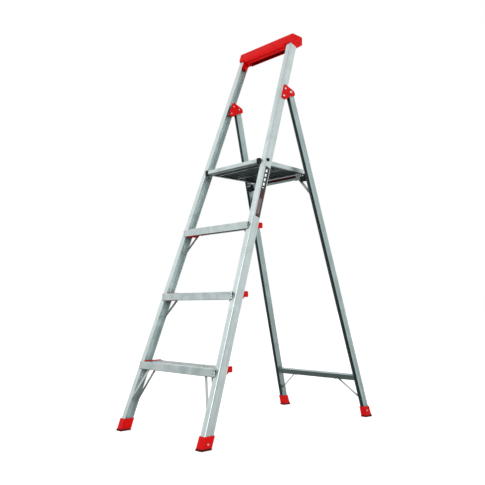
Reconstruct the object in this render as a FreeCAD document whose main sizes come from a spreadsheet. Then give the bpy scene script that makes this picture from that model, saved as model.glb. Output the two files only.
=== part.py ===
import FreeCAD, Part
import math
import os

import Sketcher
from FreeCAD import Placement, Rotation, Vector

# Step ladder: three treads and a fold-up platform. Millimetres, +Z up, front of the ladder at -Y.
# It is drawn from the front rail feet; export moves the origin to the middle of the footprint.

os.makedirs("parts", exist_ok=True)
doc = FreeCAD.newDocument("step_ladder")

# ---------------------------------------------------------------- driving dimensions
SIZES = [
    ("foot_half_width", 286.3, "front rail outer face to centre, at the floor"),
    ("front_taper", 0.0592, "front rails close in, per mm of height"),
    ("front_slope", 0.3537, "front rails lean back, per mm of height"),
    ("rail_depth", 41.5, "front rail web"),
    ("rail_flange", 27.0, "front rail flange"),
    ("web_wall", 2.4, "front rail web thickness"),
    ("flange_wall", 2.2, "front rail flange thickness"),
    ("foot_gap", 2.0, "rail foot above the sole, inside the boot"),
    ("rail_end", 1935.0, "front rail top cut, along the rail"),
    ("first_step", 295.3, "height of tread one"),
    ("step_pitch", 304.8, "height from tread to tread"),
    ("tread_height", 33.0, "tread section height"),
    ("tread_reach", 92.0, "tread top behind the rail front"),
    ("tread_wall", 2.2, "tread skin"),
    ("nose_gap", 2.6, "least room inside the wedge nose"),
    ("nose_lap", 12.0, "tread nose over the rail flange"),
    ("end_cap_wall", 3.0, "tread end cap thickness"),
    ("end_cap_rise", 4.0, "tread end cap above the tread"),
    ("side_clear", 1.5, "tread end cap to rail lip"),
    ("rear_taper", 0.0570, "rear rails close in, per mm of height"),
    ("rear_slope", 0.2896, "rear rails lean forward, per mm of height"),
    ("rear_width", 20.5, "rear rail across"),
    ("rear_depth", 34.0, "rear rail front to back"),
    ("rear_wall", 1.8, "rear rail thickness"),
    ("rear_start", 14.0, "rear rail cut above the floor, along the rail"),
    ("hinge_drop", 263.4, "rear frame pivot below the front rail tops"),
    ("hinge_side_gap", 0.87, "rear rail side to outer hinge plate, at the pivot"),
    ("hinge_depth", 14.0, "rear frame pivot behind the rear rail fronts"),
    ("hinge_back_gap", 11.9, "rear rail behind the front rail, at the pivot"),
    ("plate_wall", 3.5, "hinge plate"),
    ("pin_radius", 4.0, "rear frame pivot pin"),
    ("bush_radius", 6.5, "rear frame pivot bush"),
    ("running_fit", 0.05, "radial play on pins and bolts"),
    ("deck_top", 1205.0, "platform standing surface"),
    ("deck_height", 20.0, "platform side rail height"),
    ("nose_reach", 11.2, "platform nose ahead of the rail fronts"),
    ("deck_rest", 29.0, "platform rear edge behind the rear rail fronts"),
    ("flip_back", 16.8, "platform pivot behind the rail fronts"),
    ("flip_drop", 8.5, "platform pivot below the standing surface"),
    ("bolt_radius", 4.0, "platform pivot bolt"),
    ("deck_clear", 4.5, "platform side to rail lip"),
    ("bar_bottom", 1155.0, "upper cross bar underside"),
    ("bar_depth", 21.0, "cross bar front to back"),
    ("low_bar_bottom", 178.0, "lower cross bar underside"),
    ("low_bar_height", 25.0, "lower cross bar height"),
    ("bar_wall", 2.0, "cross bar thickness"),
    ("boot_height", 51.0, "red boot"),
    ("sole_height", 8.0, "rubber sole"),
    ("boot_wall", 3.2, "boot wall round the rail"),
    ("cap_rise", 49.6, "top of the cap above the rail tops"),
    ("cap_depth", 84.0, "cap front to back"),
    ("cap_overhang", 4.0, "cap past the rail sides and fronts"),
    ("cap_drop", 17.0, "underside of the cap below the rail tops"),
    ("rivet_radius", 2.4, "blind rivet shank"),
    ("strap_width", 12.0, "knee strap"),
    ("strap_wall", 2.0, "knee strap thickness"),
]

sheet = doc.addObject("Spreadsheet::Sheet", "Sizes")
for row, (alias, value, note) in enumerate(SIZES, start=1):
    sheet.set("A%d" % row, note)
    sheet.set("B%d" % row, str(value))
    sheet.setAlias("B%d" % row, alias)
doc.recompute()


class Dim:
    """A number that also carries the sheet expression it came from."""

    def __init__(self, value, text):
        self.value = float(value)
        self.text = text

    def join(self, other, sign, value, swap=False):
        a, b = self.text, as_dim(other).text
        if swap:
            a, b = b, a
        return Dim(value, "(%s %s %s)" % (a, sign, b))

    def __add__(self, other):
        return self.join(other, "+", self.value + float(other))

    __radd__ = __add__

    def __sub__(self, other):
        return self.join(other, "-", self.value - float(other))

    def __rsub__(self, other):
        return self.join(other, "-", float(other) - self.value, swap=True)

    def __mul__(self, other):
        return self.join(other, "*", self.value * float(other))

    __rmul__ = __mul__

    def __truediv__(self, other):
        return self.join(other, "/", self.value / float(other))

    def __neg__(self):
        return Dim(-self.value, "(0 - %s)" % self.text)

    def __float__(self):
        return self.value


def as_dim(number):
    return number if isinstance(number, Dim) else Dim(number, "%.6f" % number)


D = {alias: Dim(value, "Sizes.%s" % alias) for alias, value, note in SIZES}


def val(alias):
    return D[alias].value


# ---------------------------------------------------------------- sizes that follow from others
lean_stretch = math.sqrt(1 + val("front_slope") ** 2)
front_stretch = math.sqrt(1 + val("front_slope") ** 2 + val("front_taper") ** 2)
rail_top = D["rail_end"] / front_stretch
foot_drop = (D["rail_depth"] * D["front_slope"] / lean_stretch
             + D["rail_flange"] * D["front_taper"])
rail_start = (D["sole_height"] + D["foot_gap"] + foot_drop) * front_stretch
hinge_z = rail_top - D["hinge_drop"]
rail_back = D["rail_depth"] * lean_stretch
deck_bottom = D["deck_top"] - D["deck_height"]
flip_z = D["deck_top"] - D["flip_drop"]
flip_y = D["front_slope"] * flip_z + D["flip_back"]
nose_y = D["front_slope"] * D["deck_top"] - D["nose_reach"]


def front_half(height):
    """Outer face of a front rail from the centre plane."""
    return D["foot_half_width"] - D["front_taper"] * height


def lip_half(height):
    return front_half(height) - D["rail_flange"]


def rear_half(height):
    """Outer face of a rear rail from the centre plane, held in the hinge plates at the pivot."""
    return front_half(hinge_z) - D["hinge_side_gap"] + (hinge_z - height) * D["rear_taper"]


def rear_front_y(height):
    """Front edge of the rear rails, set behind the front rails at the pivot."""
    at_pivot = D["front_slope"] * hinge_z + rail_back + D["hinge_back_gap"]
    return at_pivot + (hinge_z - height) * D["rear_slope"]


# ---------------------------------------------------------------- sketch and pad helpers
def origin_plane(body, role):
    return next(f for f in body.Origin.OriginFeatures if f.Role == role)


def add_sketch(body, name, role, loops, offset=0.0):
    """Sketch of closed loops; a loop is a list of (x, y) corners or a (x, y, radius) circle."""
    sk = body.newObject("Sketcher::SketchObject", name)
    sk.AttachmentSupport = [(origin_plane(body, role), "")]
    sk.MapMode = "FlatFace"
    offset = as_dim(offset)
    sk.AttachmentOffset = Placement(Vector(0, 0, offset.value), Rotation())
    sk.setExpression("AttachmentOffset.Base.z", offset.text)
    geometry = []
    rules = []
    driven = []

    def hold(geo, point, across, up):
        for kind, axis, size in (("DistanceX", -2, across), ("DistanceY", -1, up)):
            if float(size) == 0.0:
                rules.append(Sketcher.Constraint("PointOnObject", geo, point, axis))
            else:
                rules.append(Sketcher.Constraint(kind, -1, 1, geo, point, float(size)))
                driven.append((len(rules) - 1, as_dim(size).text))

    for loop in loops:
        if isinstance(loop, tuple):
            centre = Vector(float(loop[0]), float(loop[1]), 0)
            geometry.append(Part.Circle(centre, Vector(0, 0, 1), float(loop[2])))
            hold(len(geometry) - 1, 3, loop[0], loop[1])
            rules.append(Sketcher.Constraint("Radius", len(geometry) - 1, float(loop[2])))
            driven.append((len(rules) - 1, as_dim(loop[2]).text))
            continue
        first = len(geometry)
        corners = [Vector(float(x), float(y), 0) for x, y in loop]
        for i, corner in enumerate(corners):
            geometry.append(Part.LineSegment(corner, corners[(i + 1) % len(corners)]))
        for i, (x, y) in enumerate(loop):
            following = first + (i + 1) % len(loop)
            rules.append(Sketcher.Constraint("Coincident", first + i, 2, following, 1))
            hold(first + i, 1, x, y)
    sk.addGeometry(geometry, False)
    sk.addConstraint(rules)
    for index, text in driven:
        sk.setExpression("Constraints[%d]" % index, text)
    return sk


def add_pad(body, name, sk, length, cut=False):
    kind = "PartDesign::Pocket" if cut else "PartDesign::Pad"
    feature = body.newObject(kind, name)
    feature.Profile = sk
    length = as_dim(length)
    feature.Length = length.value
    feature.setExpression("Length", length.text)
    sk.Visibility = False
    body.Tip = feature
    return feature


def fillet(body, name, radius, wanted):
    """Round the edges for which wanted(edge) is true."""
    doc.recompute()
    base = body.Tip
    names = ["Edge%d" % (i + 1) for i, edge in enumerate(base.Shape.Edges) if wanted(edge)]
    feature = body.newObject("PartDesign::Fillet", name)
    feature.Base = (base, names)
    feature.Radius = radius
    body.Tip = feature
    return feature


NODES = {}
DRILLS = {}


def new_body(name, placement=None):
    body = doc.addObject("PartDesign::Body", name)
    body.Label = name
    body.Placement = placement or Placement()
    NODES[name] = body
    return body


def prism(name, role, loops, start, length, placement=None):
    """A body made of one pad: loops drawn on an origin plane, from start over length."""
    body = new_body(name, placement)
    sk = add_sketch(body, name + "_profile", role, loops, start)
    add_pad(body, name + "_pad", sk, length)
    return body


def solid_node(name, shapes):
    """Repeated fasteners: one feature holding separate solids."""
    feature = doc.addObject("Part::Feature", name)
    feature.Label = name
    feature.Shape = Part.makeCompound(shapes)
    NODES[name] = feature
    return feature


def drill(names, tool):
    for name in names:
        DRILLS.setdefault(name, []).append(tool)


# ---------------------------------------------------------------- frames of the leaning rails
class RailFrame:
    """Local frame of a rail: x outward along +X for the right side, y to the rear, z up the rail."""

    def __init__(self, side, half_width, foot_y, taper, slope):
        self.side = side
        self.foot = Vector(side * half_width, foot_y, 0)
        along = Vector(-side * taper, slope, 1)
        across = Vector(1, 0, side * taper)
        self.stretch = along.Length
        z_axis = along.normalize()
        x_axis = across.normalize()
        y_axis = z_axis.cross(x_axis)
        self.axes = (x_axis, y_axis, z_axis)
        self.rotation = Rotation(x_axis, y_axis, z_axis, "ZXY")

    def placement(self, start=0.0):
        return Placement(self.foot + self.axes[2] * start, self.rotation)

    def point(self, inward, back, up):
        x_axis, y_axis, z_axis = self.axes
        return self.foot - x_axis * (self.side * inward) + y_axis * back + z_axis * up

    def local(self, point):
        return self.placement().inverse().multVec(point)


SIDES = {"left": -1, "right": 1}
FRONT = {}
REAR = {}
for side_name, side in SIDES.items():
    FRONT[side_name] = RailFrame(
        side, val("foot_half_width"), 0.0, val("front_taper"), val("front_slope"))
    REAR[side_name] = RailFrame(
        side, rear_half(0.0).value, rear_front_y(0.0).value, val("rear_taper"),
        -val("rear_slope"))


def sided(side, points):
    """Mirror a section drawn for the right rail (inward is -x) when the rail is the left one."""
    return [(x if side > 0 else -x, y) for x, y in points]


# ---------------------------------------------------------------- rivets
HEAD_RADIUS = 4.4
HEAD_HEIGHT = 1.7
TAIL_RADIUS = 3.5
TAIL_HEIGHT = 1.6
TAIL_ROOM = 1.9


def rivet_solid(start, direction, grip, radius=None, head=HEAD_RADIUS, rise=HEAD_HEIGHT,
                tail=True):
    """Domed rivet: head stands off start against direction, tail beyond the grip."""
    radius = radius or val("rivet_radius")
    direction = Vector(direction).normalize()
    parts = [Part.makeCylinder(radius, grip, start, direction)]
    if tail:
        parts.append(Part.makeCone(
            TAIL_RADIUS, radius, TAIL_HEIGHT, start + direction * grip, direction))
    dome = Part.makeCone(head, head * 0.55, rise, start, direction * -1)
    return dome.fuse(parts).removeSplitter()


def rivet(group, names, start, direction, grip, tail=True):
    """Add a rivet to its group and drill its hole; without a tail the hole is blind."""
    group.append(rivet_solid(start, direction, grip, tail=tail))
    reach = Vector(direction).normalize()
    length = grip + 2.0 if tail else grip + 1.0
    drill(names, Part.makeCylinder(val("rivet_radius"), length, start - reach, reach))


frame_rivets = []
rear_rivets = []
deck_rivets = []

# ---------------------------------------------------------------- front rails
BEAD = 5.5
GROOVE_WIDTH = 2.0
GROOVE_DEPTH = 1.0
BULB_WIDTH = 3.5
BULB_RISE = 1.0


def front_rail_section():
    deep, wide = D["rail_depth"], D["rail_flange"]
    web, thin = D["web_wall"], D["flange_wall"]
    return [
        (0, 0), (0, BEAD), (-GROOVE_DEPTH, BEAD + 0.5), (-GROOVE_DEPTH, BEAD + GROOVE_WIDTH),
        (0, BEAD + GROOVE_WIDTH + 0.5), (0, deep), (-wide, deep),
        (-wide, deep - thin - BULB_RISE), (-wide + BULB_WIDTH, deep - thin - BULB_RISE),
        (-wide + BULB_WIDTH + BULB_RISE, deep - thin), (-web, deep - thin), (-web, thin),
        (-wide + BULB_WIDTH + BULB_RISE, thin), (-wide + BULB_WIDTH, thin + BULB_RISE),
        (-wide, thin + BULB_RISE), (-wide, 0),
    ]


for side_name, side in SIDES.items():
    frame = FRONT[side_name]
    name = "front_rail_" + side_name
    body = prism(name, "XY_Plane", [sided(side, front_rail_section())], rail_start,
                 D["rail_end"] - rail_start, frame.placement())
    fillet(body, name + "_corner", 2.6,
           lambda e: all(abs(v.X) < 0.01 and abs(v.Y) < 0.01 for v in e.Vertexes))

# ---------------------------------------------------------------- treads
RIB_PITCH = 6.5
RIB_GROOVE = 2.4
RIB_DEPTH = 0.8
RIB_COUNT = 13
TREAD_RIVET_IN = 9.0
LIP = 12.0
TREAD_BACK = 20.0
STIFFENER = 22.0


def step_height(number):
    return D["first_step"] + D["step_pitch"] * (number - 1)


def repeat(body, name, feature, count, pitch):
    """Repeat a feature front to back along the body's own Y axis."""
    pattern = body.newObject("PartDesign::LinearPattern", name)
    pattern.Originals = [feature]
    pattern.Direction = (origin_plane(body, "Y_Axis"), [""])
    pattern.Occurrences = count
    pattern.Length = pitch * (count - 1)
    body.Tip = pattern


def add_grooves(body, name, first, count, pitch, top, half):
    """Anti-slip grooves along X in a level top face."""
    groove = [(first, top - RIB_DEPTH), (first + RIB_GROOVE, top - RIB_DEPTH),
              (first + RIB_GROOVE, top + 1.0), (first, top + 1.0)]
    sk = add_sketch(body, name + "_sketch", "YZ_Plane", [groove], -half - 1.0)
    cut = add_pad(body, name, sk, half * 2 + 2.0, cut=True)
    cut.Reversed = True
    repeat(body, name + "_row", cut, count, pitch)


for number in (1, 2, 3):
    top = step_height(number)
    front = D["front_slope"] * top
    tall, skin, slope = D["tread_height"], D["tread_wall"], D["front_slope"]
    face = front - slope * tall - D["nose_gap"]
    main_half = lip_half(top) - D["side_clear"] - D["end_cap_wall"]
    nose_half = lip_half(top) + D["nose_lap"]
    back = front + D["tread_reach"]
    name = "tread_%d" % number
    body = new_body(name)

    def on_slope(shift, down):
        return (front + shift - slope * down, top - down)

    main = [
        on_slope(-0.1, 0), (back, top), (back, top - TREAD_BACK), (back - LIP, top - TREAD_BACK),
        (back - LIP, top - TREAD_BACK + skin),
        (back - skin, top - TREAD_BACK + skin), (back - skin, top - skin - 0.8),
        on_slope(rail_back + 2.1, 3.0), on_slope(rail_back + 2.1, STIFFENER),
        on_slope(rail_back, STIFFENER), on_slope(rail_back, 3.0), on_slope(-0.1, 3.0),
    ]
    sk = add_sketch(body, name + "_section", "YZ_Plane", [main], -main_half)
    add_pad(body, name + "_deck", sk, main_half * 2)
    nose = [(face, top), on_slope(-0.1, 0), on_slope(-0.1, tall), (face, top - tall)]
    cavity_foot = (front - 2.1 - face - skin) / slope
    cavity = [(face + skin, top - 3.0), (face + skin, top - cavity_foot), on_slope(-2.1, 3.0)]
    sk = add_sketch(body, name + "_nose_section", "YZ_Plane", [nose, cavity], -nose_half)
    add_pad(body, name + "_nose", sk, nose_half * 2)
    fillet(body, name + "_round", 2.0, lambda e: e.Length > 100 and all(
        abs(v.Y - face.value) < 0.01 for v in e.Vertexes))
    add_grooves(body, name + "_groove", front + 4.0, RIB_COUNT, RIB_PITCH, top, nose_half)

    for side_name, side in SIDES.items():
        rise = D["end_cap_rise"]
        inner = main_half if side > 0 else -main_half - D["end_cap_wall"]
        plate = [on_slope(0.4, 1.0), (front + 2.0, top + rise - 1.5), (front + 5.0, top + rise),
                 (back - 1.0, top + rise), (back + 3.0, top + rise - 4.0),
                 (back + 3.0, top - TREAD_BACK + 3.0), (back, top - TREAD_BACK - 1.0),
                 (back - LIP - 6.0, top - TREAD_BACK - 1.0), (back - 34.0, top - tall - 1.0),
                 on_slope(8.0, tall + 1.0),
                 on_slope(0.4, tall - 4.0)]
        cap_name = "tread_cap_%d_%s" % (number, side_name)
        body = prism(cap_name, "YZ_Plane", [plate], inner, D["end_cap_wall"])
        wrap = [(back + 0.05, top + rise - 2.0), (back + 2.8, top + rise - 5.0),
                (back + 2.8, top - TREAD_BACK + 4.0), (back + 0.05, top - TREAD_BACK + 1.0)]
        if side > 0:
            sk = add_sketch(body, cap_name + "_wrap", "YZ_Plane", [wrap], inner - 9.0)
        else:
            sk = add_sketch(body, cap_name + "_wrap", "YZ_Plane", [wrap],
                            inner + D["end_cap_wall"] - 0.5)
        add_pad(body, cap_name + "_wrap_pad", sk, 9.5)
        rail = "front_rail_" + side_name
        for drop in (6.0, 16.5, 27.0):
            height = top.value - drop
            start = Vector(side * (lip_half(top).value + TREAD_RIVET_IN), face.value, height)
            flange_back = val("front_slope") * height + val("flange_wall") / FRONT[
                side_name].axes[1].y
            rivet(frame_rivets, [name, rail], start, Vector(0, 1, 0),
                  flange_back - face.value + TAIL_ROOM)

# ---------------------------------------------------------------- knee straps on the treads
STRAPS = [
    ("tread_1_brace_front_", 1, "front", 125.0, 62.0),
    ("tread_1_brace_rear_", 1, "rear", 125.0, 62.0),
    ("tread_2_brace_", 2, "rear", 64.0, 58.0),
    ("tread_3_brace_", 3, "rear", 64.0, 58.0),
]
for stem, number, face_name, drop, run in STRAPS:
    top = step_height(number).value
    for side_name, side in SIDES.items():
        frame = FRONT[side_name]
        name = stem + side_name
        thick, half = val("strap_wall"), val("strap_width") / 2
        if face_name == "front":
            depth = val("flange_wall") + 1.1
            hold_drop = 15.0
        else:
            depth = val("rail_depth") - val("flange_wall") - thick - 1.1
            hold_drop = 14.0
        upper = frame.local(Vector(0, val("front_slope") * top, top - hold_drop))
        scale = frame.stretch
        foot_up = (top - val("tread_height") - drop) * scale
        head_up = (top - hold_drop) * scale + depth * val("front_slope")
        foot_in = val("rail_flange") - 6.5
        head_in = foot_in + run
        run_up = head_up - foot_up
        length = math.hypot(run, run_up)
        ux, uz = run / length, run_up / length
        corners = []
        for end, sign in ((0.0 - half, -1), (0.0 - half, 1), (length + half, 1), (length + half, -1)):
            inward = foot_in + ux * end - uz * half * sign
            up = foot_up + uz * end + ux * half * sign
            corners.append((-side * inward, up))
        body = new_body(name, frame.placement())
        sk = add_sketch(body, name + "_outline", "XZ_Plane", [corners], -(depth + thick))
        add_pad(body, name + "_plate", sk, D["strap_wall"])
        doc.recompute()
        fillet(body, name + "_ends", half - 0.5, lambda e: abs(
            e.Vertexes[0].Y - e.Vertexes[-1].Y) > thick * 0.9)
        rail = "front_rail_" + side_name
        y_axis = frame.axes[1]
        twist = val("front_taper") * val("front_slope") * head_in * y_axis.y
        if face_name == "front":
            rivet(frame_rivets, [rail, name], frame.point(foot_in, 0, foot_up), y_axis,
                  depth + thick)
            start = -2.1 - twist
            rivet(frame_rivets, ["tread_%d" % number, name],
                  frame.point(head_in, start, head_up), y_axis, depth + thick - start)
        else:
            rivet(frame_rivets, [rail, name], frame.point(foot_in, val("rail_depth"), foot_up),
                  y_axis * -1, val("rail_depth") - depth)
            start = (rail_back.value + 2.2) * y_axis.y - twist
            rivet(frame_rivets, ["tread_%d" % number, name],
                  frame.point(head_in, start, head_up), y_axis * -1, start - depth)

# ---------------------------------------------------------------- top cap
CAP_WALL = 4.0
CAP_RIBS = 3
CAP_LEG = 30.0
cap_y = D["front_slope"] * rail_top
cap_z = rail_top + D["cap_rise"]
lift = D["cap_overhang"]
cap_half = front_half(cap_z) + lift
belly_half = lip_half(rail_top) - 11.0


def cap_at(back, up):
    return (cap_y + back, up)


cap_foot = D["rail_depth"] / lean_stretch + 7.0
cap_front = [
    cap_at(-lift, rail_top + 1.5), cap_at(-lift, rail_top + 14.0), cap_at(6.0, cap_z - 8.0),
    cap_at(9.0, cap_z - 2.5), cap_at(14.0, cap_z)]
cap_rear = [
    cap_at(D["cap_depth"] - 6.0, cap_z), cap_at(D["cap_depth"] - 1.5, cap_z - 2.0),
    cap_at(D["cap_depth"], cap_z - 7.0), cap_at(D["cap_depth"], rail_top + 9.0)]
foot_z = rail_top + 1.5 - (cap_foot + lift) * D["front_slope"]
cap_end = cap_front + cap_rear + [cap_at(cap_foot, foot_z)]
belly = rail_top - D["cap_drop"]
cap_shell = [
    cap_at(18.0, belly), cap_at(13.0, belly + 1.0), cap_at(7.0, belly + 8.0),
    cap_at(-lift + 1.0, rail_top - 8.0)] + cap_front + cap_rear + [
    cap_at(60.0, belly + 8.0), cap_at(52.0, belly), cap_at(48.0, belly),
    cap_at(56.0, belly + 10.0), cap_at(D["cap_depth"] - CAP_WALL - 1.0, rail_top + 10.0),
    cap_at(D["cap_depth"] - CAP_WALL - 1.0, cap_z - CAP_WALL),
    cap_at(15.0, cap_z - CAP_WALL), cap_at(12.0, cap_z - 9.0),
    cap_at(CAP_WALL - 1.0, rail_top + 11.0), cap_at(CAP_WALL, rail_top - 7.0),
    cap_at(12.0, belly + 9.0), cap_at(18.0, belly + 3.0)]
cap_rib = [cap_at(10.0, belly + 20.0), cap_at(2.0, rail_top), cap_at(9.0, cap_z - 8.0),
           cap_at(D["cap_depth"] - 3.0, cap_z - 3.0), cap_at(D["cap_depth"] - 3.0, rail_top + 9.0),
           cap_at(64.0, belly + 20.0)]
cap_body = doc.addObject("PartDesign::Body", "cap_moulding")
sk = add_sketch(cap_body, "cap_shell", "YZ_Plane", [cap_shell], -belly_half)
add_pad(cap_body, "cap_shell_pad", sk, belly_half * 2)
for side_name, side in SIDES.items():
    start = belly_half - 4.0 if side > 0 else -cap_half
    sk = add_sketch(cap_body, "cap_end_" + side_name, "YZ_Plane", [cap_end], start)
    add_pad(cap_body, "cap_end_pad_" + side_name, sk, cap_half - belly_half + 4.0)
    cheek = [cap_at(13.0, belly + 1.0), cap_at(-lift + 1.0, rail_top - 8.0)] + [
        cap_at(0.0, rail_top + 5.0), cap_at(D["cap_depth"] - 2.0, rail_top + 9.0),
        cap_at(60.0, belly + 8.0), cap_at(52.0, belly)]
    start = belly_half - 4.0 if side > 0 else -belly_half
    sk = add_sketch(cap_body, "cap_cheek_" + side_name, "YZ_Plane", [cheek], start)
    add_pad(cap_body, "cap_cheek_pad_" + side_name, sk, 4.0)
for i in range(CAP_RIBS):
    middle = belly_half * (2.0 * (i + 1) / (CAP_RIBS + 1) - 1.0)
    sk = add_sketch(cap_body, "cap_rib_%d" % i, "YZ_Plane", [cap_rib], middle - 1.5)
    add_pad(cap_body, "cap_rib_pad_%d" % i, sk, 3.0)


def local_box(name, frame, inward, back, up):
    """Part::Box in a rail frame from (low, high) pairs, inward measured from the rail side."""
    box = doc.addObject("Part::Box", name)
    for prop, pair in (("Length", inward), ("Width", back), ("Height", up)):
        size = as_dim(pair[1]) - pair[0]
        setattr(box, prop, size.value)
        box.setExpression(prop, size.text)
    near = inward[1] if frame.side > 0 else inward[0]
    corner = frame.point(float(near), float(back[0]), float(up[0]))
    box.Placement = Placement(corner, frame.rotation)
    return box


legs = []
for side_name, side in SIDES.items():
    frame = FRONT[side_name]
    legs.append(local_box(
        "cap_leg_" + side_name, frame,
        (D["web_wall"] + 0.1, D["rail_flange"] - 1.0),
        (D["flange_wall"] + 1.2, D["rail_depth"] - D["flange_wall"] - 1.2),
        (D["rail_end"] - CAP_LEG, D["rail_end"] + 6.0)))
    for up in (9.0, 20.0):
        start = frame.point(14.0, val("rail_depth"), val("rail_end") - up)
        rivet(frame_rivets, ["front_rail_" + side_name, "top_cap"], start, frame.axes[1] * -1,
              9.0, tail=False)
cap = doc.addObject("Part::MultiFuse", "top_cap")
cap.Shapes = [cap_body] + legs
cap.Label = "top_cap"
NODES["top_cap"] = cap

# ---------------------------------------------------------------- hinge plates, rivets and pins
PLATE_OUTLINE = [(-51.5, 12.0), (-46.0, 17.0), (14.0, 19.0), (24.0, 14.0), (29.0, 4.0),
                 (26.0, -4.0), (2.0, -21.0), (-20.0, -52.0), (-28.0, -58.0), (-51.5, -60.0)]
PLATE_RIVETS = [(-38.5, -3.0), (-38.5, -44.0)]
HEAD_TILT = 0.55
PLATE_RIVET_RADIUS = 3.0
SPACER_RADIUS = 6.0
BUSH_END = 0.9

hinge_y = rear_front_y(hinge_z) + D["hinge_depth"] * math.hypot(1.0, val("rear_slope"))
hinge_rivets = []
hinge_pins = []
hinge_bushes = []
for side_name, side in SIDES.items():
    frame = FRONT[side_name]
    out = Vector(side, 0, 0)
    pivot = Vector(side * front_half(hinge_z).value, hinge_y.value, hinge_z.value)
    spot = frame.local(pivot)
    outline = [(spot.y + back, spot.z + up) for back, up in PLATE_OUTLINE]
    wall = D["plate_wall"]
    for kind, inward in (("outer", -wall), ("inner", D["rail_flange"])):
        name = "hinge_plate_%s_%s" % (kind, side_name)
        start = -(inward + wall) if side > 0 else inward
        prism(name, "YZ_Plane", [outline], start, wall, frame.placement())
        fillet(NODES[name], name + "_corners", 3.5, lambda e: abs(
            e.Vertexes[0].X - e.Vertexes[-1].X) > val("plate_wall") * 0.9)
        edge_x = float(start) if (kind == "outer") == (side < 0) else float(start) + wall.value
        fillet(NODES[name], name + "_edge", 1.0, lambda e: all(
            abs(v.X - edge_x) < 0.01 for v in e.Vertexes))
    plates = ["hinge_plate_outer_" + side_name, "hinge_plate_inner_" + side_name]
    for back, up in PLATE_RIVETS:
        inward = frame.axes[0] * -side
        start = frame.point(-wall.value, spot.y + back, spot.z + up)
        grip = val("rail_flange") + 2 * wall.value
        shank = rivet_solid(start, inward, grip, PLATE_RIVET_RADIUS, 6.0, 2.4)
        spacer_start = frame.point(val("web_wall"), spot.y + back, spot.z + up)
        spacer = Part.makeCylinder(
            SPACER_RADIUS, val("rail_flange") - val("web_wall"), spacer_start, inward)
        hinge_rivets.append(shank.fuse(spacer).removeSplitter())
        drill(plates + ["front_rail_" + side_name], Part.makeCylinder(
            PLATE_RIVET_RADIUS, grip + 2.0, start - inward, inward))
    pin_out = front_half(hinge_z).value + wall.value + HEAD_TILT
    pin_in = lip_half(hinge_z).value - wall.value - HEAD_TILT
    start = Vector(side * pin_out, hinge_y.value, hinge_z.value)
    hinge_pins.append(rivet_solid(start, out * -1, pin_out - pin_in, val("pin_radius"), 8.0, 3.2))
    drill(plates, Part.makeCylinder(val("pin_radius"), 60, start + out * 5, out * -1))
    bush_out = front_half(hinge_z).value - BUSH_END
    bush_in = lip_half(hinge_z).value + BUSH_END
    start = Vector(side * bush_out, hinge_y.value, hinge_z.value)
    tube = Part.makeCylinder(val("bush_radius"), bush_out - bush_in, start, out * -1)
    bore = Part.makeCylinder(
        val("pin_radius") + val("running_fit"), bush_out - bush_in, start, out * -1)
    hinge_bushes.append(tube.cut(bore))
    drill(["rear_rail_" + side_name], Part.makeCylinder(
        val("bush_radius"), 80, start + out * 20, out * -1))
solid_node("hinge_rivets", hinge_rivets)
solid_node("hinge_pins", hinge_pins)
solid_node("hinge_bushes", hinge_bushes)

# ---------------------------------------------------------------- boots and soles
SOLE_LIP = 1.0
SOLE_GROOVE = 2.0
REAR_TOE = 4.0


def boot_pair(stem, frame, side_name, half_at, front_at, deep, width, start_up, toe):
    """Boot moulded round the rail foot, level at top and bottom, over a grooved rubber sole."""
    side = frame.side
    wall, top, low = D["boot_wall"], D["boot_height"], D["sole_height"]
    outer = half_at(low) + wall
    inner = half_at(top) - width - wall
    back = deep + wall
    profile = [(front_at(low) - wall, low), (front_at(top) - wall, top),
               (front_at(top) + back, top), (front_at(low + 12.0) + back + toe * 0.35, low + 12.0),
               (front_at(low) + back + toe, low)]
    start = inner if side > 0 else -outer
    name = "%s_boot_%s" % (stem, side_name)
    block = doc.addObject("PartDesign::Body", name + "_block")
    sk = add_sketch(block, name + "_profile", "YZ_Plane", [profile], start)
    add_pad(block, name + "_pad", sk, outer - inner)
    fillet(block, name + "_round", 2.5, lambda e: e.Length > 20 and (
        abs(abs(e.Vertexes[0].X) - outer.value) < 0.01 and abs(
            abs(e.Vertexes[-1].X) - outer.value) < 0.01) and abs(
                e.Vertexes[0].Z - e.Vertexes[-1].Z) > 20)
    socket = local_box(name + "_socket", frame, (-0.15, width + 0.15),
                       (-0.15, val("rail_depth" if stem == "front" else "rear_depth") + 0.15),
                       (start_up - 0.2, start_up + 120.0))
    boot = doc.addObject("Part::Cut", name)
    boot.Base = block
    boot.Tool = socket
    boot.Label = name
    NODES[name] = boot
    profile = [(front_at(0) - wall - SOLE_LIP, 0)]
    length = (front_at(0) + back + toe + SOLE_LIP - profile[0][0])
    grooves = 5
    for i in range(grooves):
        y = profile[0][0] + length * ((i + 0.7) / (grooves + 0.4))
        profile += [(y, 0), (y, SOLE_GROOVE), (y + 3.0, SOLE_GROOVE), (y + 3.0, 0)]
    profile += [(profile[0][0] + length, 0), (profile[0][0] + length - 0.6, low),
                (front_at(low) - wall - SOLE_LIP, low)]
    name = "%s_sole_%s" % (stem, side_name)
    prism(name, "YZ_Plane", [profile], start - SOLE_LIP, outer - inner + 2 * SOLE_LIP)


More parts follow.
